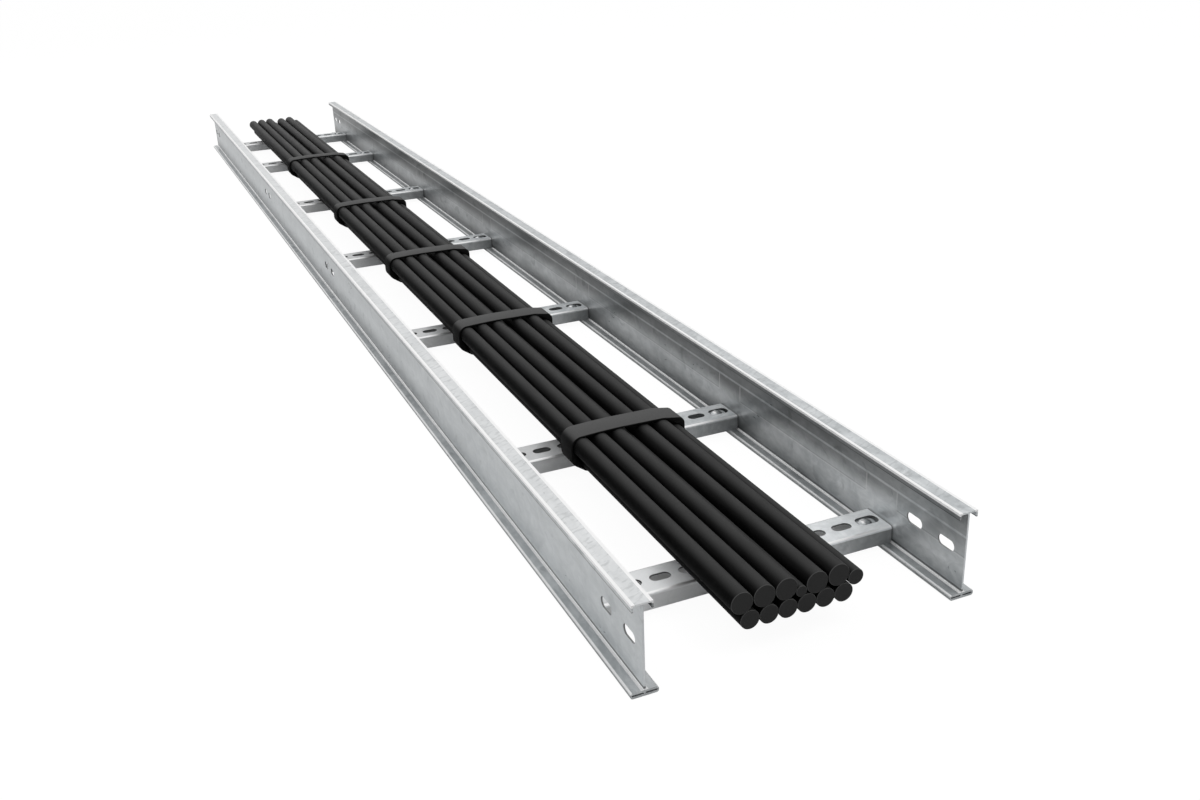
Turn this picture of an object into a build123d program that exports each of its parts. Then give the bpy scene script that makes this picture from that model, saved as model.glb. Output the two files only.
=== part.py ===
"""Straight cable ladder section with a strapped bundle of power cables lying on its rungs.

Frame: X runs across the ladder, Y along it, Z up. The origin is on the floor, under the
middle of the section. All sizes are in millimetres.
"""

import os

from build123d import *

# Ladder
LENGTH = 3000.0
LADDER_WIDTH = 360.0  # between the middle planes of the two webs

# Side rail, rolled from one strip into an I section
RAIL_HEIGHT = 100.0
WEB_THICKNESS = 2.0
TOP_FLANGE_WIDTH = 22.0
TOP_FLANGE_WALL = 1.7
LIP_DEPTH = 7.5
LIP_BEND = 2.6
TOP_ROOT_RADIUS = 3.6
BOTTOM_FLANGE_WIDTH = 29.0
BOTTOM_FLANGE_DEPTH = 6.5
BOTTOM_FLANGE_WALL = 2.4
BOTTOM_FLANGE_BEND = 2.4
BOTTOM_ROOT_RADIUS = 3.0
CORNER_REACH = 0.01  # how near a corner lies to the line it is picked by

# Splice slots in the webs
SPLICE_SLOT_LENGTH = 26.0
SPLICE_SLOT_WIDTH = 12.0
SPLICE_PITCH = 52.0
SPLICE_END_DISTANCE = 29.0  # rail end to the first slot's middle
SPLICE_Z = 50.5
MIDDLE_PAIRS_Y = (-150.0, 545.0)  # extra slot pairs, on the left rail only

# Rungs, pressed as an inverted channel with plain legs
RUNG_COUNT = 7
END_RUNG_DISTANCE = 140.0  # rail end to the middle of the end rung
END_RUNG_PITCH = 340.0
RUNG_WIDTH = 48.0
RUNG_HEIGHT = 20.0
RUNG_SHEET = 2.0
RUNG_BEND = 3.2
RUNG_END_GAP = 0.2  # rung end to the web
ROOT_GAP = 0.3  # chamfered foot of a rung to the rail's bottom root
RUNG_SLOT_LENGTH = 24.0
RUNG_SLOT_WIDTH = 13.5
RUNG_SLOT_PITCH = 33.5
RUNG_SLOTS_PER_SIDE = 4
END_SLOT_LENGTH = 27.0
END_SLOT_WIDTH = 17.0
END_SLOT_CORNER = 7.0
END_SLOT_INSET = 18.5  # web's middle plane to the end slot's middle

# Dome-head bolts standing in the end slots, each on a flange nut under the rung's top wall
BOLT_SIDE_STEP = 2.8  # end slot's middle to the bolt, towards the cables
BOLT_HEAD_GAP = 0.4  # head to the long sides of its slot
BOLT_HEAD_HEIGHT = 3.2
BOLT_DIAMETER = 10.0
BOLT_LENGTH = 13.0
NUT_FLANGE_DIAMETER = 25.0
NUT_FLANGE_HEIGHT = 2.0
NUT_ACROSS_FLATS = 16.0
NUT_HEIGHT = 9.0

# Cables
CABLE_END_INSET = 15.0  # rail end to the cut cable ends
TOP_CABLE_DIAMETER = 24.0
BOTTOM_CABLE_DIAMETER = 21.0
CONTACT_GAP = 0.2
BOTTOM_CABLE_COUNT = 6
BOTTOM_ROW_START_X = -60.5
TOP_ROW_X = (-69.5, -44.8, -20.4, 14.2, 39.0)
SIDE_CABLE_DIAMETER = 17.5
SIDE_CABLE_X = 59.0
INNER_CABLE_DIAMETER = 12.0
INNER_CABLE_X = -3.5

# Straps, drawn tight round the bundle by hand, one in front of each inner rung
STRAP_SETBACKS = {2: 61.0, 3: 118.0, 4: 203.0, 5: 261.0, 6: 205.0}  # rung's middle to strap's
STRAP_WIDTH = 35.0
STRAP_THICKNESS = 2.6
STRAP_GAP = 0.3
STRAP_FOLD_DIAMETER = 14.0  # loose fold where the strap passes over the side cable
STRAP_FOLD_DROP = 4.5  # that fold's top below the highest cable
STRAP_FLANK_DIAMETER = 20.0  # loose fold beside the bottom row, level with the outer top cable
STRAP_FLANK_RISE = 7.0  # that fold's middle above the bottom row's

half_length = LENGTH / 2
half_width = LADDER_WIDTH / 2
rung_top = BOTTOM_FLANGE_DEPTH + RUNG_HEIGHT
cable_length = LENGTH - 2 * CABLE_END_INSET


def rung_positions():
    """Y of each rung's middle: the two end bays are shorter than the equal inner bays."""
    first = -half_length + END_RUNG_DISTANCE
    second = first + END_RUNG_PITCH
    inner_pitch = -2 * second / (RUNG_COUNT - 3)
    inner = [second + i * inner_pitch for i in range(RUNG_COUNT - 2)]
    return [first] + inner + [-first]


def rail_section():
    """I section: lipped top flange, plain web, bottom flange folded flat round two slits."""
    web_top = RAIL_HEIGHT - TOP_FLANGE_WALL
    half_web = WEB_THICKNESS / 2
    bottom_middle = BOTTOM_FLANGE_DEPTH / 2
    pocket_end = TOP_FLANGE_WIDTH / 2 - TOP_FLANGE_WALL
    slit_height = BOTTOM_FLANGE_DEPTH - 2 * BOTTOM_FLANGE_WALL
    slit_end = (BOTTOM_FLANGE_WIDTH - BOTTOM_FLANGE_WALL) / 2

    def corners(sketch, height, across):
        """The corners at one height, the same distance from the web on both sides."""
        return sketch.vertices().filter_by(
            lambda v: abs(v.Z - height) < CORNER_REACH and abs(abs(v.X) - across) < CORNER_REACH
        )

    with BuildSketch(Plane.XZ) as section:
        with Locations((0, (bottom_middle + web_top) / 2)):
            Rectangle(WEB_THICKNESS, web_top - bottom_middle)
        with Locations((0, RAIL_HEIGHT - LIP_DEPTH / 2)):
            Rectangle(TOP_FLANGE_WIDTH, LIP_DEPTH)
        fillet(corners(section, RAIL_HEIGHT, TOP_FLANGE_WIDTH / 2), LIP_BEND)
        for side in (-1, 1):
            with Locations((side * (half_web + pocket_end) / 2, web_top - LIP_DEPTH / 2)):
                Rectangle(pocket_end - half_web, LIP_DEPTH, mode=Mode.SUBTRACT)
        fillet(corners(section, web_top, half_web), TOP_ROOT_RADIUS)
        with Locations((0, bottom_middle)):
            RectangleRounded(BOTTOM_FLANGE_WIDTH, BOTTOM_FLANGE_DEPTH, BOTTOM_FLANGE_BEND)
        for side in (-1, 1):
            with Locations((side * (half_web + slit_end) / 2, bottom_middle)):
                SlotOverall(slit_end - half_web, slit_height, mode=Mode.SUBTRACT)
        fillet(corners(section, BOTTOM_FLANGE_DEPTH, half_web), BOTTOM_ROOT_RADIUS)
    return section.sketch


def splice_slot_positions(extra_pairs=()):
    """Y of every web slot: one pair at each end, then any extra pairs."""
    first = half_length - SPLICE_END_DISTANCE
    second = first - SPLICE_PITCH
    positions = [-first, -second, second, first]
    for middle in extra_pairs:
        positions += [middle - SPLICE_PITCH / 2, middle + SPLICE_PITCH / 2]
    return positions


def make_rail(side, extra_pairs=()):
    rail = extrude(rail_section(), amount=half_length, both=True)
    slot = extrude(
        Plane.YZ * SlotOverall(SPLICE_SLOT_LENGTH, SPLICE_SLOT_WIDTH),
        amount=WEB_THICKNESS,
        both=True,
    )
    slots = [Pos(0, y, SPLICE_Z) * slot for y in splice_slot_positions(extra_pairs)]
    return Pos(side * half_width, 0, 0) * (rail - slots)


def rung_section():
    """Inverted channel, open below between its two legs."""
    outer = Rectangle(RUNG_WIDTH, RUNG_HEIGHT)
    outer = fillet(outer.vertices().group_by(Axis.Y)[-1], RUNG_BEND)
    hollow = Pos(0, -RUNG_SHEET) * Rectangle(RUNG_WIDTH - 2 * RUNG_SHEET, RUNG_HEIGHT)
    hollow = fillet(hollow.vertices().group_by(Axis.Y)[-1], RUNG_BEND - RUNG_SHEET)
    return outer - hollow


def rung_slot_positions():
    """X of the plain slots, counted inwards from both end slots."""
    end_slot = half_width - END_SLOT_INSET
    right = [end_slot - (i + 1) * RUNG_SLOT_PITCH for i in range(RUNG_SLOTS_PER_SIDE)]
    return [-x for x in right] + right


def make_rung(y):
    """Rung with its slots, its feet chamfered to clear the roots of the bottom flanges."""
    length = LADDER_WIDTH - WEB_THICKNESS - 2 * RUNG_END_GAP
    rung = extrude(Plane.YZ * rung_section(), amount=length / 2, both=True)
    feet = rung.edges().filter_by(Axis.Y).group_by(Axis.Z)[0]
    rung = chamfer(feet, BOTTOM_ROOT_RADIUS + ROOT_GAP)
    plain = extrude(
        SlotOverall(RUNG_SLOT_LENGTH, RUNG_SLOT_WIDTH), amount=2 * RUNG_SHEET, both=True
    )
    wide = extrude(
        RectangleRounded(END_SLOT_LENGTH, END_SLOT_WIDTH, END_SLOT_CORNER),
        amount=2 * RUNG_SHEET,
        both=True,
    )
    cuts = [Pos(x, 0, RUNG_HEIGHT / 2) * plain for x in rung_slot_positions()]
    cuts += [
        Pos(side * (half_width - END_SLOT_INSET), 0, RUNG_HEIGHT / 2) * wide
        for side in (-1, 1)
    ]
    return Pos(0, y, BOTTOM_FLANGE_DEPTH + RUNG_HEIGHT / 2) * (rung - cuts)


def bolt_place(side, y):
    """Where the head sits on its nut, level with the underside of the rung's top wall."""
    return Pos(side * (half_width - END_SLOT_INSET - BOLT_SIDE_STEP), y, rung_top - RUNG_SHEET)


def make_bolt(side, y):
    """Dome head inside the end slot, shank down through the nut."""
    rise = BOLT_HEAD_HEIGHT
    radius = END_SLOT_WIDTH / 2 - BOLT_HEAD_GAP
    ball = (radius**2 + rise**2) / (2 * rise)
    dome = Pos(0, 0, rise - ball) * Sphere(ball)
    head = dome & Pos(0, 0, rise / 2) * Cylinder(radius, rise)
    shank = Pos(0, 0, -BOLT_LENGTH / 2) * Cylinder(BOLT_DIAMETER / 2, BOLT_LENGTH)
    return bolt_place(side, y) * (head + shank)


def make_nut(side, y):
    """Hexagon nut whose round flange bears on the underside of the rung's top wall."""
    hexagon = RegularPolygon(NUT_ACROSS_FLATS / 2, 6, major_radius=False)
    flange = Pos(0, 0, -NUT_FLANGE_HEIGHT / 2) * Cylinder(NUT_FLANGE_DIAMETER / 2, NUT_FLANGE_HEIGHT)
    bore = Pos(0, 0, -NUT_HEIGHT / 2) * Cylinder(BOLT_DIAMETER / 2, 2 * NUT_HEIGHT)
    return bolt_place(side, y) * (extrude(hexagon, amount=-NUT_HEIGHT) + flange - bore)


def cable_layout():
    """X, Z and diameter of each cable, each one seated on what lies under it."""
    bottom_pitch = BOTTOM_CABLE_DIAMETER + CONTACT_GAP
    bottom_z = rung_top + BOTTOM_CABLE_DIAMETER / 2 + CONTACT_GAP
    bottom = [
        (BOTTOM_ROW_START_X + i * bottom_pitch, bottom_z, BOTTOM_CABLE_DIAMETER)
        for i in range(BOTTOM_CABLE_COUNT)
    ]

    def seated(x, diameter):
        heights = []
        for other_x, other_z, other_diameter in bottom:
            reach = (diameter + other_diameter) / 2 + CONTACT_GAP
            across = abs(x - other_x)
            if across < reach:
                heights.append(other_z + (reach**2 - across**2) ** 0.5)
        return (x, max(heights), diameter)

    top = [seated(x, TOP_CABLE_DIAMETER) for x in TOP_ROW_X]
    side = seated(SIDE_CABLE_X, SIDE_CABLE_DIAMETER)
    inner = seated(INNER_CABLE_X, INNER_CABLE_DIAMETER)
    return bottom + top + [side, inner]


def make_cable(x, z, diameter):
    return Pos(x, 0, z) * Rot(90, 0, 0) * Cylinder(diameter / 2, cable_length)


def bundle_outline(clearance):
    """The outline round every cable and the strap's two loose folds, at a clearance from them."""
    layout = cable_layout()
    left_edge = min(x - d / 2 for x, z, d in layout)
    right_edge = max(x + d / 2 for x, z, d in layout)
    top_edge = max(z + d / 2 for x, z, d in layout)
    fold_radius = STRAP_FOLD_DIAMETER / 2
    fold_z = top_edge - STRAP_FOLD_DROP - fold_radius
    flank_z = layout[0][1] + STRAP_FLANK_RISE
    folds = [
        (right_edge - fold_radius, fold_z, STRAP_FOLD_DIAMETER),
        (left_edge + STRAP_FLANK_DIAMETER / 2, flank_z, STRAP_FLANK_DIAMETER),
    ]
    rounds = [Pos(x, z) * Circle(d / 2 + clearance) for x, z, d in layout + folds]
    return make_hull([edge for disc in rounds for edge in disc.edges()])


def make_strap(y):
    """Flat band drawn round the bundle, tight but for its two loose folds."""
    band = bundle_outline(STRAP_GAP + STRAP_THICKNESS) - bundle_outline(STRAP_GAP)
    return Pos(0, y, 0) * extrude(Plane.XZ * band, amount=STRAP_WIDTH / 2, both=True)


def build():
    parts = {
        "rail_left": make_rail(-1, MIDDLE_PAIRS_Y),
        "rail_right": make_rail(1),
    }
    positions = rung_positions()
    for number, y in enumerate(positions, start=1):
        parts[f"rung_{number}"] = make_rung(y)
        for name, side in (("left", -1), ("right", 1)):
            parts[f"rung_bolt_{name}_{number}"] = make_bolt(side, y)
            parts[f"rung_nut_{name}_{number}"] = make_nut(side, y)
    for number, (x, z, diameter) in enumerate(cable_layout(), start=1):
        parts[f"cable_{number}"] = make_cable(x, z, diameter)
    for number, setback in STRAP_SETBACKS.items():
        parts[f"strap_{number}"] = make_strap(positions[number - 1] - setback)
    return parts


os.makedirs("parts", exist_ok=True)
for node, shape in build().items():
    shape.label = node
    export_step(shape, f"parts/{node}.step")
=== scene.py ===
"""Looks of the cable ladder section: galvanised rails and rungs, black cables, black straps."""

import math

import bmesh
import bpy
from mathutils import Euler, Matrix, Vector


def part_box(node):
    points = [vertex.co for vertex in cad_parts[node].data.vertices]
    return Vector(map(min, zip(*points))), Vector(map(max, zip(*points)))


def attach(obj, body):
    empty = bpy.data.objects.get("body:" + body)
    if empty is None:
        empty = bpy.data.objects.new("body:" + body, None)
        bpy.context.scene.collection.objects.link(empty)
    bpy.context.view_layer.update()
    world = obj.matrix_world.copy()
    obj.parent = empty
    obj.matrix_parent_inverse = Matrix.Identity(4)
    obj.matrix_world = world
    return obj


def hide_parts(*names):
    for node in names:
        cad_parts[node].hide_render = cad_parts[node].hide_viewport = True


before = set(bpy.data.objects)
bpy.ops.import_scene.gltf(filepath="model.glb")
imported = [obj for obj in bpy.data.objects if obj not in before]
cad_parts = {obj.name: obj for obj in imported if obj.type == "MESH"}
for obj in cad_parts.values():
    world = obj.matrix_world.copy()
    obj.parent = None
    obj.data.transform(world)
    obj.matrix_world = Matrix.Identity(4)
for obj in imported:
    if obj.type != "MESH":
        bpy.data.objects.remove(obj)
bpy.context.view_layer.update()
scene = bpy.context.scene

MM = 0.001


def starting(*words):
    """The frame's nodes whose names start with one of the words."""
    return [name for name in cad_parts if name.startswith(words)]


# Places on the ladder, read from the frame, in metres
RUNGS = [name for name in starting("rung_") if name[5].isdigit()]
RAIL_MIDDLE = sum(corner.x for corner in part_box("rail_right")) / 2
RAIL_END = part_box("rail_right")[1].y
RUNG_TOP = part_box("rung_1")[1].z
RUNG_HALF = (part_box("rung_1")[1].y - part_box("rung_1")[0].y) / 2
CABLE_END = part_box("cable_1")[1].y

# Bands on a rail: each starts, is full, fades and ends so far above the floor
FLANGE_SLIT = (0.0020, 0.0026, 0.0034, 0.0040)
FLANGE_EDGE = (0.0046, 0.0052, 0.0066, 0.0070)
LOW_FOLD = (0.0062, 0.0066, 0.0074, 0.0078)
WEB_ROOT = (0.0079, 0.0083, 0.0096, 0.0112)
WEB_FACE = (0.0094, 0.0098, 0.0965, 0.0975)
WEB_SLOTS = (0.0200, 0.0300, 0.0800, 0.0900)
PANEL_LOW_LINE = (0.0452, 0.0458, 0.0464, 0.0470)
PANEL_CREASE = (0.0472, 0.0478, 0.0482, 0.0488)
PANEL_END_LINE = (0.0455, 0.0480, 0.0680, 0.0710)
PANEL_GROOVE = (0.0688, 0.0702, 0.0716, 0.0728)
LIP_UNDERSIDE = (0.0900, 0.0915, 0.0930, 0.0936)
INNER_LIP = (0.0900, 0.0905, 0.0968, 0.0974)
OUTER_LIP = (0.0900, 0.0905, 0.0962, 0.0970)

# The soft parts' own sizes
CABLE_RIM = 0.55 * MM
STRAP_GAP = 0.3 * MM
STRAP_THICKNESS = 2.6 * MM
STRAP_EDGE = 0.9 * MM  # how far in from its sides a strap starts to round
SIDE_FOLD_RADIUS = 7 * MM
SIDE_FOLD_DROP = 4.5 * MM  # that fold's top below the highest cable
FLANK_FOLD_RADIUS = 10 * MM
FLANK_FOLD_RISE = 7 * MM  # that fold's middle above the lowest row's


class Value:
    """One socket of a finish, which takes part in plain arithmetic."""

    def __init__(self, finish, socket):
        self.finish = finish
        self.socket = socket

    def _math(self, operation, *terms):
        settings = {"operation": operation}
        return self.finish.node("ShaderNodeMath", settings, *terms)[0]

    def __add__(self, other):
        return self._math("ADD", self, other)

    __radd__ = __add__

    def __sub__(self, other):
        return self._math("SUBTRACT", self, other)

    def __rsub__(self, other):
        return self._math("SUBTRACT", other, self)

    def __mul__(self, other):
        return self._math("MULTIPLY", self, other)

    __rmul__ = __mul__

    def clamped(self):
        return self._math("MINIMUM", self._math("MAXIMUM", self, 0.0), 1.0)

    def size(self):
        return self._math("ABSOLUTE", self)

    def least(self, other):
        return self._math("MINIMUM", self, other)

    def between(self, low, high):
        """0 below low, 1 above high, smooth in between."""
        values = {"Value": self, "From Min": low, "From Max": high}
        settings = {"interpolation_type": "SMOOTHSTEP"}
        return self.finish.node("ShaderNodeMapRange", settings, **values)[0]

    def band(self, start, full, fading, end):
        """1 from full to fading, 0 outside start and end."""
        return self.between(start, full) * (1 - self.between(fading, end))


class Finish:
    """The node tree of a material or of the world: one method adds any node and wires it."""

    def __init__(self, holder):
        holder.use_nodes = True
        self.holder = holder
        self.tree = holder.node_tree
        self.tree.nodes.clear()

    def node(self, kind, settings=None, *values, **named):
        """Adds a node: its settings first, then its sockets by place or by name."""
        node = self.tree.nodes.new(kind)
        for key, value in (settings or {}).items():
            setattr(node, key, value)
        wanted = list(enumerate(values))
        wanted += [(key.replace("_", " "), value) for key, value in named.items()]
        for key, value in wanted:
            socket = node.inputs[key]
            if isinstance(value, Value):
                self.tree.links.new(value.socket, socket)
            elif value is not None:
                socket.default_value = value
        return [Value(self, socket) for socket in node.outputs]

    def point(self):
        """The point on the object, in metres."""
        return self.node("ShaderNodeTexCoord")[3]

    def place(self, scale=(1, 1, 1)):
        """The point on the object in metres, stretched along its axes."""
        return self.node("ShaderNodeMapping", None, Vector=self.point(), Scale=scale)[0]

    def strokes(self, length, width, turn):
        """Soft strokes of a length and width in metres, turned in plan."""
        settings = {"vector_type": "TEXTURE"}
        values = {"Rotation": (0, 0, turn), "Scale": (length, width, width)}
        stroke = self.node("ShaderNodeMapping", settings, Vector=self.point(), **values)[0]
        return self.noise(stroke, 1.0, 2.0)

    def axes(self):
        """How far across, along and up a point of the object lies, in metres."""
        return self.node("ShaderNodeSeparateXYZ", None, self.point())

    def facing(self):
        """How far the surface of the object faces across, along and up, from -1 to 1."""
        direction = self.node("ShaderNodeTexCoord")[1]
        return self.node("ShaderNodeSeparateXYZ", None, direction)

    def noise(self, point, scale, detail=3.0, roughness=0.5, distortion=0.0):
        values = {"Vector": point, "Scale": scale, "Detail": detail, "Roughness": roughness}
        return self.node("ShaderNodeTexNoise", None, Distortion=distortion, **values)[0]

    def mix(self, factor, first, second):
        """One colour over another; the node's sockets for numbers and vectors stay unused."""
        unused = [None] * 5
        values = [factor, *unused, first, second]
        return self.node("ShaderNodeMix", {"data_type": "RGBA"}, *values)[2]

    def bump(self, height, depth, strength=1.0):
        values = {"Height": height, "Distance": depth, "Strength": strength}
        return self.node("ShaderNodeBump", None, **values)[0]

    def surface(self, **sockets):
        """The shader itself, with the finished look wired to the output."""
        shader = self.node("ShaderNodeBsdfPrincipled", None, **sockets)[0]
        self.node("ShaderNodeOutputMaterial", None, shader)
        return self.holder


def grey(level, cool=0.0):
    """A neutral colour, or one a little cooler."""
    return (level * (1 - cool), level, level * (1 + cool * 0.5), 1.0)


def zinc(finish, base, lengthwise=1.0):
    """Colour and roughness of hot-dip zinc: soft cloudy patches, dull spots, drawn streaks."""
    point = finish.place((1, lengthwise, 1))
    clouds = finish.noise(point, 16.0, 5.0, 0.6, 1.2).between(0.32, 0.66)
    patches = finish.noise(point, 55.0, 4.0, 0.6, 1.5).between(0.34, 0.7)
    spots = finish.noise(point, 46.0, 2.0, 0.45, 0.6).between(0.62, 0.72)
    drawn = finish.noise(finish.place((1, 0.05, 1)), 130.0, 3.0, 0.6).between(0.35, 0.7)
    tone = clouds * 0.4 + patches * 0.4 + drawn * 0.2
    colour = finish.mix(tone, grey(base * 0.68, 0.06), grey(base * 1.18, 0.03))
    colour = finish.mix(spots * 0.5, colour, grey(base * 0.52, 0.06))
    return colour, 0.27 + 0.08 * tone + 0.08 * spots


def rolled(finish, flat, lengthwise=1.0):
    """Slow ripple of rolled strip, which leaves the folds with a painted highlight smooth."""
    ripple = finish.noise(finish.place((1, lengthwise, 1)), 30.0, 3.0, 0.5)
    return finish.bump(ripple * flat, 0.6 * MM, 0.2)


def from_rung(finish):
    """How far along the ladder a point lies from the middle of the nearest rung, in metres."""
    boxes = [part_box(name) for name in RUNGS]
    middles = {round(abs(low.y + high.y) / 2, 4) for low, high in boxes}
    along = finish.axes()[1].size()
    near = along
    for y in sorted(middles - {0.0}):
        near = near.least((along - y).size())
    return near


def rail_sides(finish):
    """Distance from the web's middle plane, 1 on the web, and 1 on the side of the cables."""
    across, along, height = finish.axes()
    from_web = (across.size() - RAIL_MIDDLE).size()
    web = height.band(*WEB_FACE) * (1 - from_web.between(0.003, 0.005))
    inside = 1 - across.size().between(RAIL_MIDDLE - 1.1 * MM, RAIL_MIDDLE - 0.7 * MM)
    return from_web, web, inside


def shade_web(finish, colour):
    """Painted shade on the web and lips: under the top flange, at the foot, in soft clouds inside,
    and more away from the near end, with a painted highlight line at the panel's groove; painted
    shade on the bottom flange's top too.
    """
    across, along, height = finish.axes()
    from_web, web, inside = rail_sides(finish)
    near = 1 - along.between(-1.45, -1.1)
    farther = along.between(-1.3, -0.5)
    cloud = finish.noise(finish.place((1, 0.3, 1)), 20.0, 4.0, 0.6).between(0.25, 0.75)

    # Painted shade on the inside of the web, deeper towards the top flange and low down, lighter
    # along the groove.
    low = (0.5 - 0.25 * near) * (1 - height.between(0.01, 0.042))
    inner = 0.32 + 0.58 * height.between(0.042, 0.067) + low - 0.22 * near
    inner = inner + (0.3 + 0.14 * near) * (cloud - 0.5) - height.band(*PANEL_GROOVE) * 0.42
    foot = 1 - height.between(0.008, 0.05)
    outer = (0.08 + 0.1 * farther) * height.between(0.02, 0.07) + 0.5 * farther * foot

    flange = 1 - height.between(0.0066, 0.007)
    inner_lip = 1 - across.size().between(RAIL_MIDDLE - 8.5 * MM, RAIL_MIDDLE - 7 * MM)
    inner_lip = inner_lip * height.band(*INNER_LIP)
    outer_lip = across.size().between(RAIL_MIDDLE + 8.5 * MM, RAIL_MIDDLE + 9.5 * MM)
    outer_lip = outer_lip * height.band(*OUTER_LIP)
    lips = inner_lip * 0.66 + outer_lip * (0.16 + 0.16 * farther)

    shade = web * (inside * inner + (1 - inside) * outer)
    shade = shade + flange * (0.22 + 0.12 * farther) + lips
    # Painted light: the outside of the web is evened out towards a plain pale grey.
    colour = finish.mix(web * (1 - inside) * 0.45, colour, grey(0.75, 0.04))
    return finish.mix(shade.clamped(), colour, grey(0.05, 0.05))


def press_panels(finish, colour):
    """Painted shadow and highlight lines for the relief of a panel pressed into the web between two
    rungs, on the inside.
    """
    height = finish.axes()[2]
    from_web, web, inside = rail_sides(finish)
    off_rung = from_rung(finish)
    panel = web * inside * off_rung.between(0.027, 0.029)
    end = web * inside * off_rung.band(0.0262, 0.0272, 0.0284, 0.0294)
    # Painted shadow along the panel's crease, painted highlight lines along its low edge and at its
    # ends.
    colour = finish.mix(panel * height.band(*PANEL_CREASE) * 0.35, colour, grey(0.05))
    colour = finish.mix(panel * height.band(*PANEL_LOW_LINE) * 0.3, colour, grey(0.85))
    return finish.mix(end * height.band(*PANEL_END_LINE) * 0.3, colour, grey(0.85))


def brush_top(finish, colour):
    """Short strokes on the top flanges, in painted shade that deepens far off and is less on the
    left rail, whose top also gets painted light.
    """
    across, along, height = finish.axes()
    painted_light_left = 1 - across.between(-0.1, 0.0)
    farther = along.between(-1.3, -0.5)
    brushed = finish.strokes(0.014, 0.0045, 0.5).between(0.5, 0.7)
    # Painted shade on the tops, deeper far off and less on the left rail; the strokes in it are the
    # zinc's own marks.
    painted_light_amount = brushed * (0.34 - 0.08 * painted_light_left) + 0.14 + farther * (0.16 - 0.1 * painted_light_left)
    # Painted light on the left rail's top.
    colour = finish.mix(painted_light_left * height.between(0.0975, 0.0985) * 0.45, colour, grey(0.98))
    return finish.mix(height.between(0.0985, 0.0995) * painted_light_amount, colour, grey(0.3, 0.04))


def darken_roots(finish, colour):
    """Painted shade where the web meets the bottom flange, in the web's slots and the flange's
    slits, and under the lips.
    """
    across, along, height = finish.axes()
    from_web = rail_sides(finish)[0]
    root = height.band(*WEB_ROOT) * (1 - from_web.between(0.0036, 0.0044))
    slit = height.band(*FLANGE_SLIT) * from_web.between(0.0138, 0.0143)
    lip = height.band(*LIP_UNDERSIDE) * from_web.between(0.0085, 0.009)
    sheared_end = along.size().between(RAIL_END - 2 * MM, RAIL_END - 0.5 * MM)
    slot = height.band(*WEB_SLOTS) * (1 - from_web.between(0.0008, 0.00095)) * (1 - sheared_end)
    dark = root * 0.85 + slit * 0.6 + lip * 0.75 + slot * 0.8
    return finish.mix(dark.clamped(), colour, grey(0.05))


def rail_fold_highlights(finish):
    """1 on the folds and on the edge of the bottom flange, which get a painted highlight."""
    height = finish.axes()[2]
    from_web = rail_sides(finish)[0]
    low_fold = height.band(*LOW_FOLD) * (1 - from_web.between(0.0036, 0.0042))
    high_fold = height.between(0.0970, 0.0976) * from_web.between(0.0072, 0.0078)
    edge = height.band(*FLANGE_EDGE) * from_web.between(0.0124, 0.013)
    return (low_fold + high_fold + edge * 0.7).clamped()


def rail_zinc():
    """Zinc with painted highlights on the folds, painted shade at the roots and painted shadow and
    highlight lines of a pressed panel inside each bay.
    """
    finish = Finish(bpy.data.materials.new("rail_zinc"))
    lengthwise = 0.7
    colour, roughness = zinc(finish, 0.68, lengthwise)
    for step in (shade_web, press_panels, brush_top, darken_roots):
        colour = step(finish, colour)
    folds = rail_fold_highlights(finish)
    return finish.surface(
        # Painted highlight: the folds and the bottom flange's edge are mixed towards white.
        Base_Color=finish.mix(folds * 0.95, colour, grey(1.0)),
        Metallic=0.55 * (1 - folds),
        Roughness=roughness,
        Normal=rolled(finish, 1 - folds, lengthwise),
    )


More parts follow.
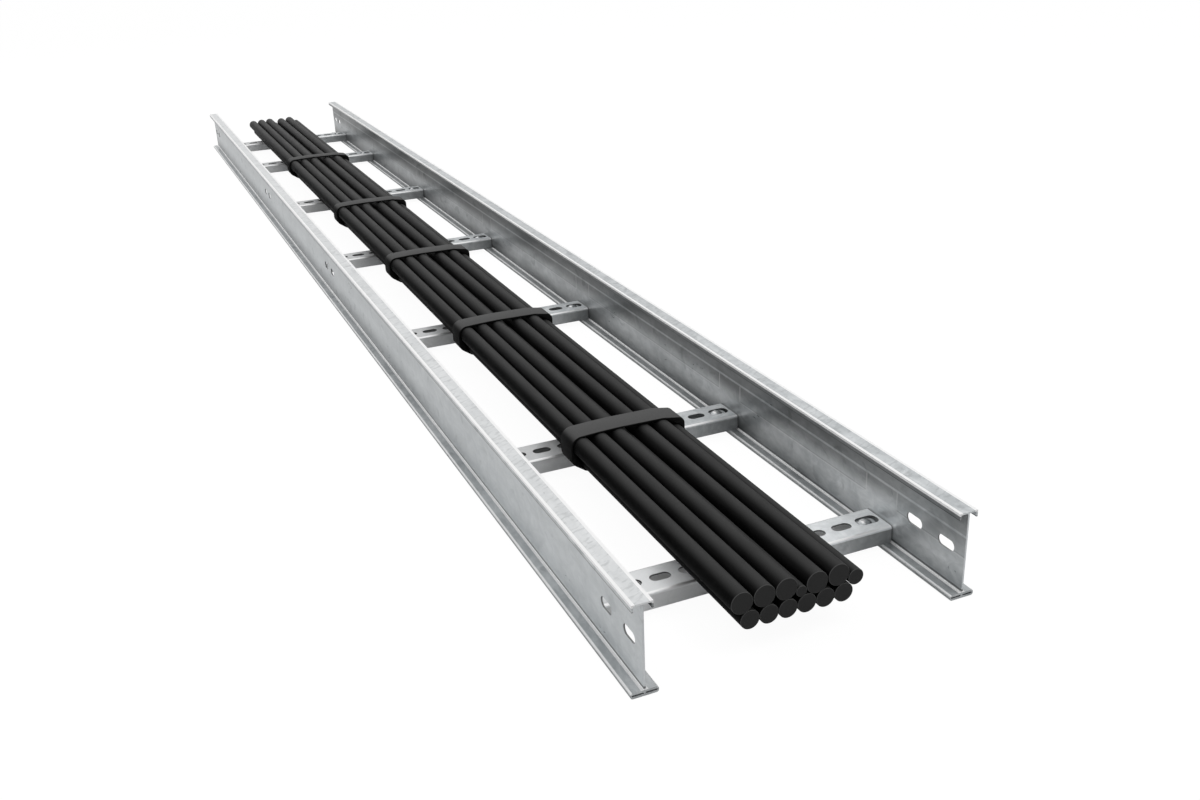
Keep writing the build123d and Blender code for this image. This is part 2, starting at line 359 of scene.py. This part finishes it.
def rung_zinc():
    """Zinc with painted highlights on the pressed edges, painted light on the left part, on the
    nearest rung's top and inside it, and painted shade in the slots, inside the rungs beyond, on
    the fronts towards the right rail and in the seams at the rails.
    """
    finish = Finish(bpy.data.materials.new("rung_zinc"))
    across, along, height = finish.axes()
    off_middle = from_rung(finish)
    below = RUNG_TOP - height
    inward = RUNG_HALF - off_middle
    leg = (1 - inward.between(0.6 * MM, 1.4 * MM)) * below.between(2.9 * MM, 3.9 * MM)
    fold = (1 - below.between(1.3 * MM, 2.1 * MM)) * (1 - inward.between(2.6 * MM, 3.2 * MM))
    inner = inward.between(1.6 * MM, 2.1 * MM) * below.between(1.9 * MM, 2.05 * MM)
    slot_wall = (1 - off_middle.between(0.0087, 0.0089)) * below.band(
        0.1 * MM, 0.6 * MM, 1.9 * MM, 2.2 * MM
    )
    seam = across.size().between(RAIL_MIDDLE - 2.8 * MM, RAIL_MIDDLE - 1.8 * MM)
    beyond = along.between(-1.3, -1.2)  # every rung but the nearest
    painted_light_left = 1 - across.between(-0.12, 0.1)
    # Painted shade: fronts darker towards the right rail, rungs beyond the nearest darker on top.
    shade = leg * (0.12 + 0.55 * across.between(0.03, 0.178)) + beyond * (1 - leg) * 0.24

    colour, roughness = zinc(finish, 0.86)
    # Painted light on the left part of each rung.
    colour = finish.mix(painted_light_left * 0.65, colour, grey(1.0))
    # Painted light on the nearest rung's top.
    colour = finish.mix((1 - beyond) * (1 - leg) * 0.4, colour, grey(1.0, 0.02))
    colour = finish.mix(shade.clamped(), colour, grey(0.08, 0.03))
    # Painted highlight on the pressed edge.
    colour = finish.mix(fold * 0.95, colour, grey(1.0))
    # Painted light inside the nearest rung, seen through its slots.
    colour = finish.mix(inner * (1 - beyond) * 0.8, colour, grey(1.0))
    # Painted shade inside the rungs beyond and on the slot walls.
    hollow = inner * beyond * 0.55 + slot_wall * 0.85
    colour = finish.mix(hollow.clamped(), colour, grey(0.05))
    # Painted shade in the seam where the rung meets the rail's web.
    return finish.surface(
        Base_Color=finish.mix(seam * 0.7, colour, grey(0.06)),
        Metallic=0.1 + 0.85 * fold,
        Roughness=roughness + 0.12,
        Normal=rolled(finish, 1 - fold),
    )


def bolt_zinc():
    """Zinc plating, with a painted highlight on the dome's left slope and painted shade towards its
    right side and its rim.
    """
    finish = Finish(bpy.data.materials.new("bolt_zinc"))
    colour, roughness = zinc(finish, 0.6)
    facing = finish.facing()
    shaded_side = facing[0].between(-0.15, 0.4)
    rim = 1 - facing[2].between(0.76, 0.86)
    painted_light_amount = facing[0].band(-0.5, -0.32, -0.12, 0.0) * facing[1].band(-0.4, -0.2, 0.2, 0.4)
    # Painted shade on the right side and rim, then a painted highlight on the left slope.
    colour = finish.mix((shaded_side * 0.7 + rim * 0.6).clamped(), colour, grey(0.05))
    colour = finish.mix(painted_light_amount * (1 - rim), colour, grey(1.0))
    return finish.surface(Base_Color=colour, Metallic=0.8, Roughness=roughness)


def sheath():
    """Matte black cable jacket with painted light on the sides turned up and to the right and
    painted shade on the others, paler cut faces and a painted highlight on the cut rims.
    """
    finish = Finish(bpy.data.materials.new("black_sheath"))
    along = finish.axes()[1].size()
    facing = finish.facing()
    haze = finish.noise(finish.place((1, 0.25, 1)), 90.0, 3.0)
    lit = (facing[2] * 0.9 + facing[0] * 0.44).between(0.2, 1.0)
    cut = facing[1].size().between(0.96, 0.99)
    rim = along.between(CABLE_END - 0.8 * MM, CABLE_END - 0.5 * MM) * (1 - cut)
    # Painted light on the faces turned up and to the right, painted shade on the others.
    colour = finish.mix(lit, grey(0.0015), grey(0.048))
    colour = finish.mix(haze.between(0.3, 0.75) * 0.2, colour, grey(0.018))
    colour = finish.mix(cut, colour, grey(0.034))
    # Painted highlight on the cut rims.
    colour = finish.mix(rim, colour, grey(0.085))
    return finish.surface(
        Base_Color=colour,
        Roughness=0.5 + 0.1 * haze,
        Specular_IOR_Level=0.05,
        Normal=finish.bump(haze, 0.2 * MM, 0.3),
    )


def strapping():
    """Matte black band with painted light where it faces up."""
    finish = Finish(bpy.data.materials.new("black_band"))
    grain = finish.noise(finish.place(), 900.0, 2.0)
    top = finish.facing()[2].between(0.5, 0.95)
    # Painted light on the faces turned up.
    colour = finish.mix(top, grey(0.006), grey(0.09))
    colour = finish.mix(grain.between(0.3, 0.75) * 0.2, colour, grey(0.02))
    return finish.surface(
        Base_Color=colour,
        Roughness=0.6 + 0.08 * grain,
        Specular_IOR_Level=0.08,
        Normal=finish.bump(grain, 0.2 * MM, 0.4),
    )


def paint(names, material):
    """Gives the frame's own nodes a finish; their meshes stay as they are."""
    for name in names:
        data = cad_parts[name].data
        data.materials.clear()
        data.materials.append(material)


def added(name, mesh, material):
    """A finished mesh as an object of the scene, with one material."""
    mesh.materials.clear()
    mesh.materials.append(material)
    item = bpy.data.objects.new(name, mesh)
    scene.collection.objects.link(item)
    return item


def as_mesh(name, form):
    """Turns a finished form into a mesh."""
    mesh = bpy.data.meshes.new(name)
    form.to_mesh(mesh)
    form.free()
    return mesh


def stands_for(item, slot, *nodes):
    """Puts a finished piece in the place of the frame's own nodes."""
    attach(item, "root")
    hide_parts(*nodes)


def turned(profile, steps, turn):
    """A closed mesh turned round an axis: turn gives the point for a profile pair and an angle."""
    form = bmesh.new()
    rings = []
    for distance, radius in profile:
        if radius == 0:
            rings.append([form.verts.new(turn(distance, 0, 0))])
            continue
        angles = [math.tau * i / steps for i in range(steps)]
        rings.append([form.verts.new(turn(distance, radius, a)) for a in angles])
    for first, second in zip(rings, rings[1:]):
        for i in range(steps):
            k = (i + 1) % steps
            if len(first) == 1:
                form.faces.new((first[0], second[i], second[k]))
            elif len(second) == 1:
                form.faces.new((first[i], second[0], first[k]))
            else:
                form.faces.new((first[i], second[i], second[k], first[k]))
    bmesh.ops.recalc_face_normals(form, faces=form.faces)
    return form


def rounded_end(tip, inward, radius):
    """Profile pairs of a cable's flat end with a rounded rim, from its middle outwards."""
    pairs = [(tip, 0), (tip, radius * 0.6), (tip, radius - CABLE_RIM * 1.6)]
    for i in range(5):
        a = math.pi / 8 * i
        distance = tip + inward * CABLE_RIM * (1 - math.cos(a))
        pairs.append((distance, radius - CABLE_RIM * (1 - math.sin(a))))
    return pairs


def cable(name, material):
    """Round cable with both cut ends broken at the rim."""
    low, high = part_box(name)
    radius = (high.z - low.z) / 2
    middle = (low + high) / 2

    def turn(distance, reach, angle):
        x = middle.x + reach * math.cos(angle)
        return (x, distance, middle.z + reach * math.sin(angle))

    near = rounded_end(low.y, 1, radius)
    far = rounded_end(high.y, -1, radius)
    form = turned(near + far[::-1], 72, turn)
    for face in form.faces:
        face.smooth = abs(face.normal.y) < 0.999
    piece = added(name + "_sheath", as_mesh(name + "_sheath", form), material)
    stands_for(piece, "cable_sheath", name)


def cable_rounds():
    """Middle across, middle height and radius of every cable, seen along the ladder."""
    rounds = []
    for name in starting("cable_"):
        low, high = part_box(name)
        rounds.append(((low.x + high.x) / 2, (low.z + high.z) / 2, (high.z - low.z) / 2))
    return rounds


def loose_folds(rounds):
    """The two rounds where a strap stands off the cables: over the side cable and at the flank."""
    left = min(x - r for x, z, r in rounds)
    right = max(x + r for x, z, r in rounds)
    top = max(z + r for x, z, r in rounds)
    row = min(z for x, z, r in rounds)
    side_z = top - SIDE_FOLD_DROP - SIDE_FOLD_RADIUS
    side = (right - SIDE_FOLD_RADIUS, side_z, SIDE_FOLD_RADIUS)
    flank = (left + FLANK_FOLD_RADIUS, row + FLANK_FOLD_RISE, FLANK_FOLD_RADIUS)
    return [side, flank]


def touched(rounds, clearance, angle):
    """Where a line laid round the outside of the rounds touches, facing an angle."""
    aim = (math.cos(angle), math.sin(angle))
    x, z, r = max(rounds, key=lambda c: c[0] * aim[0] + c[1] * aim[1] + c[2])
    return Vector((x + (r + clearance) * aim[0], z + (r + clearance) * aim[1]))


def strap_section(near, far):
    """Rounded section of a strap: places along the ladder, each with its share of the thickness."""
    corner = []
    for degrees in (0, 30, 60, 90):
        a = math.radians(degrees)
        corner.append((STRAP_EDGE * (1 - math.sin(a)), 0.35 * (1 - math.cos(a))))
    section = [(near + step, share) for step, share in corner]
    section += [(near + step, 1 - share) for step, share in corner[::-1]]
    section += [(far - step, 1 - share) for step, share in corner]
    return section + [(far - step, share) for step, share in corner[::-1]]


def strap(name, rounds, material):
    """Soft band drawn round the bundle, its edges rounded, thicker inside its two folds."""
    low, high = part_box(name)
    outline = rounds + loose_folds(rounds)
    section = strap_section(low.y, high.y)
    steps = 180
    form = bmesh.new()
    rings = []
    for i in range(steps):
        angle = math.tau * i / steps
        inside = touched(rounds, STRAP_GAP, angle)
        outside = touched(outline, STRAP_GAP + STRAP_THICKNESS, angle)
        points = [(y, inside.lerp(outside, share)) for y, share in section]
        rings.append([form.verts.new((point.x, y, point.y)) for y, point in points])
    count = len(section)
    for first, second in zip(rings, rings[1:] + rings[:1]):
        for i in range(count):
            k = (i + 1) % count
            form.faces.new((first[i], first[k], second[k], second[i]))
    bmesh.ops.recalc_face_normals(form, faces=form.faces)
    for face in form.faces:
        face.smooth = True
    piece = added(name + "_band", as_mesh(name + "_band", form), material)
    stands_for(piece, "strap_band", name)


def standing(profile, steps):
    """A closed mesh turned about an upright line, from height and radius pairs in millimetres."""

    def turn(distance, reach, angle):
        return (reach * math.cos(angle), reach * math.sin(angle), distance)

    return turned([(z * MM, r * MM) for z, r in profile], steps, turn)


def bolt_form():
    """Dome head, its seat at height 0, and a threaded shank below, in millimetres."""
    rise = 3.2
    reach = 8.1
    shank = 5.0
    core = 4.35
    pitch = 1.5
    length = 13.0
    ball = (reach**2 + rise**2) / (2 * rise)
    widest = math.asin((reach - 0.25) / ball)
    profile = [(rise, 0)]
    for i in range(1, 9):
        a = widest * i / 8
        profile.append((rise - ball * (1 - math.cos(a)), ball * math.sin(a)))
    profile += [(0.15, reach), (0.05, reach - 0.05), (0, reach - 0.3), (0, shank), (-1.0, shank)]
    for i in range(7):
        profile += [(-1.6 - pitch * i, core), (-2.35 - pitch * i, shank)]
    profile += [(-12.4, 4.8), (-length, 4.2), (-length, 0)]
    form = standing(profile, 40)
    for face in form.faces:
        face.smooth = face.calc_center_median().z > 0
    return form


def nut_form():
    """Round flange against the rung, chamfered hexagon below, in millimetres."""
    flange = standing([(0, 0), (0, 12.1), (-0.4, 12.5), (-1.0, 12.4), (-2.0, 9.0), (-2.0, 0)], 40)
    half_flats = 8
    corner = half_flats / math.cos(math.radians(30))
    hexagon = [(-1.6, 0), (-1.6, corner), (-8.3, corner), (-9.0, 8.2), (-9.0, 5.4), (-8.5, 5.0)]
    block = as_mesh("hexagon", standing(hexagon + [(-8.5, 0)], 6))
    flange.from_mesh(block)
    bpy.data.meshes.remove(block)
    return flange


def spreader():
    """Node tree that stands one piece at every point, each turned its own way about the upright."""
    tree = bpy.data.node_groups.new("spread", "GeometryNodeTree")
    tree.is_modifier = True
    face = tree.interface
    for name, kind in (
        ("Places", "NodeSocketGeometry"),
        ("Piece", "NodeSocketObject"),
        ("Skin", "NodeSocketMaterial"),
        ("Most Turn", "NodeSocketFloat"),
    ):
        face.new_socket(name, in_out="INPUT", socket_type=kind)
    face.new_socket("Made", in_out="OUTPUT", socket_type="NodeSocketGeometry")
    entry = tree.nodes.new("NodeGroupInput")
    piece = tree.nodes.new("GeometryNodeObjectInfo")
    points = tree.nodes.new("GeometryNodeMeshToPoints")
    chance = tree.nodes.new("FunctionNodeRandomValue")
    chance.inputs["Seed"].default_value = 7
    turn = tree.nodes.new("ShaderNodeCombineXYZ")
    stand = tree.nodes.new("GeometryNodeInstanceOnPoints")
    real = tree.nodes.new("GeometryNodeRealizeInstances")
    skin = tree.nodes.new("GeometryNodeSetMaterial")
    made = tree.nodes.new("NodeGroupOutput")
    for start, end in (
        (entry.outputs["Places"], points.inputs["Mesh"]),
        (entry.outputs["Piece"], piece.inputs["Object"]),
        (entry.outputs["Most Turn"], chance.inputs[3]),
        (chance.outputs[1], turn.inputs["Z"]),
        (points.outputs[0], stand.inputs["Points"]),
        (piece.outputs["Geometry"], stand.inputs["Instance"]),
        (turn.outputs[0], stand.inputs["Rotation"]),
        (stand.outputs[0], real.inputs[0]),
        (real.outputs[0], skin.inputs["Geometry"]),
        (entry.outputs["Skin"], skin.inputs["Material"]),
        (skin.outputs[0], made.inputs[0]),
    ):
        tree.links.new(start, end)
    return tree


def spread(name, form, tree, places, material):
    """One piece at each place, as a single plain mesh."""
    piece = bpy.data.objects.new(name + "_pattern", as_mesh(name + "_pattern", form))
    points = bpy.data.meshes.new(name + "_places")
    points.from_pydata(places, [], [])
    item = bpy.data.objects.new(name, points)
    scene.collection.objects.link(item)
    modifier = item.modifiers.new("spread", "NODES")
    modifier.node_group = tree
    sockets = {entry.name: entry.identifier for entry in tree.interface.items_tree}
    modifier[sockets["Piece"]] = piece
    modifier[sockets["Skin"]] = material
    modifier[sockets["Most Turn"]] = math.tau
    graph = bpy.context.evaluated_depsgraph_get()
    mesh = bpy.data.meshes.new_from_object(item.evaluated_get(graph))
    bpy.data.objects.remove(item)
    bpy.data.objects.remove(piece)
    return added(name, mesh, material)


def fasteners(material):
    """Bolts in the rungs' end slots and the flange nuts under them."""
    nuts = starting("rung_nut")
    seats = []
    for node in nuts:
        low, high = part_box(node)
        seats.append(((low.x + high.x) / 2, (low.y + high.y) / 2, high.z))
    tree = spreader()
    bolts = spread("dome_bolts", bolt_form(), tree, seats, material)
    stands_for(bolts, "bolt_zinc", *starting("rung_bolt"))
    flange_nuts = spread("flange_nuts", nut_form(), tree, seats, material)
    stands_for(flange_nuts, "bolt_zinc", *nuts)


def bundle(jacket, band):
    """The cables and the straps that hold them."""
    for name in starting("cable_"):
        cable(name, jacket)
    rounds = cable_rounds()
    for name in starting("strap_"):
        strap(name, rounds, band)


def camera():
    """The camera, where the photograph was taken from."""
    data = bpy.data.cameras.new("camera")
    data.sensor_width = 36.0
    data.lens = 35.696
    data.clip_end = 50.0
    item = bpy.data.objects.new("camera", data)
    item.location = (-0.554741, -2.314836, 0.682522)
    item.rotation_euler = Euler((1.164571, 0.037722, -0.413734))
    scene.collection.objects.link(item)
    scene.camera = item


def lamp(name, place, aim, width, height, power):
    """A soft lamp that zinc doesn't mirror, so no flange turns white from any side."""
    data = bpy.data.lights.new(name, "AREA")
    data.shape = "RECTANGLE"
    data.size = width
    data.size_y = height
    data.energy = power
    item = bpy.data.objects.new(name, data)
    item.location = place
    item.rotation_euler = (Vector(aim) - Vector(place)).to_track_quat("-Z", "Y").to_euler()
    item.visible_glossy = False
    scene.collection.objects.link(item)


def seen(finish):
    """1 for a ray that sees the background: straight, in a mirror or through glass."""
    rays = {value.socket.name: value for value in finish.node("ShaderNodeLightPath")}
    return rays["Is Camera Ray"], rays["Is Glossy Ray"], rays["Is Transmission Ray"]


def studio_world():
    """White where it is seen; what it sheds on the object is brighter above and behind."""
    world = bpy.data.worlds.new("studio")
    finish = Finish(world)
    straight, mirrored, through = seen(finish)
    direction = finish.node("ShaderNodeTexCoord")[0]
    toward = Vector((-0.35, 0.55, 0.75)).normalized()
    settings = {"operation": "DOT_PRODUCT"}
    along = finish.node("ShaderNodeVectorMath", settings, direction, toward)[1]
    dome = 0.2 + 0.6 * along.between(0.0, 0.95)
    shown = (straight + mirrored + through).clamped()
    strength = dome * (1 - shown) + shown
    light = finish.node("ShaderNodeBackground", None, Color=grey(1.0), Strength=strength)[0]
    finish.node("ShaderNodeOutputWorld", None, Surface=light)
    scene.world = world


def floor():
    """White floor that keeps the ladder's shadow, fainter where it is looked at."""
    form = bmesh.new()
    bmesh.ops.create_grid(form, x_segments=4, y_segments=4, size=12.0)
    finish = Finish(bpy.data.materials.new("white_floor"))
    straight, mirrored, through = seen(finish)
    share = straight * 0.9 + mirrored * 0.2 + through * 0.9
    matte = finish.node("ShaderNodeBsdfDiffuse", None, Color=grey(0.8))[0]
    glow = finish.node("ShaderNodeEmission", None, Strength=1.06)[0]
    blend = finish.node("ShaderNodeMixShader", None, share, matte, glow)[0]
    finish.node("ShaderNodeOutputMaterial", None, blend)
    added("floor", as_mesh("floor", form), finish.holder)


# The ladder and its cables
paint(starting("rail_"), rail_zinc())
paint(RUNGS, rung_zinc())
fasteners(bolt_zinc())
bundle(sheath(), strapping())

# The studio
camera()
studio_world()
floor()
lamp("overhead", (1.1, -2.2, 3.0), (0, -0.4, 0), 1.2, 2.5, 32)
lamp("left_top", (-1.6, 0.6, 3.0), (0, 0, 0), 1.2, 3.0, 22)
lamp("fold_light", (-1.4, 3.4, 2.1), (0, 0.2, 0), 1.0, 0.7, 10)
scene.view_settings.view_transform = "Standard"
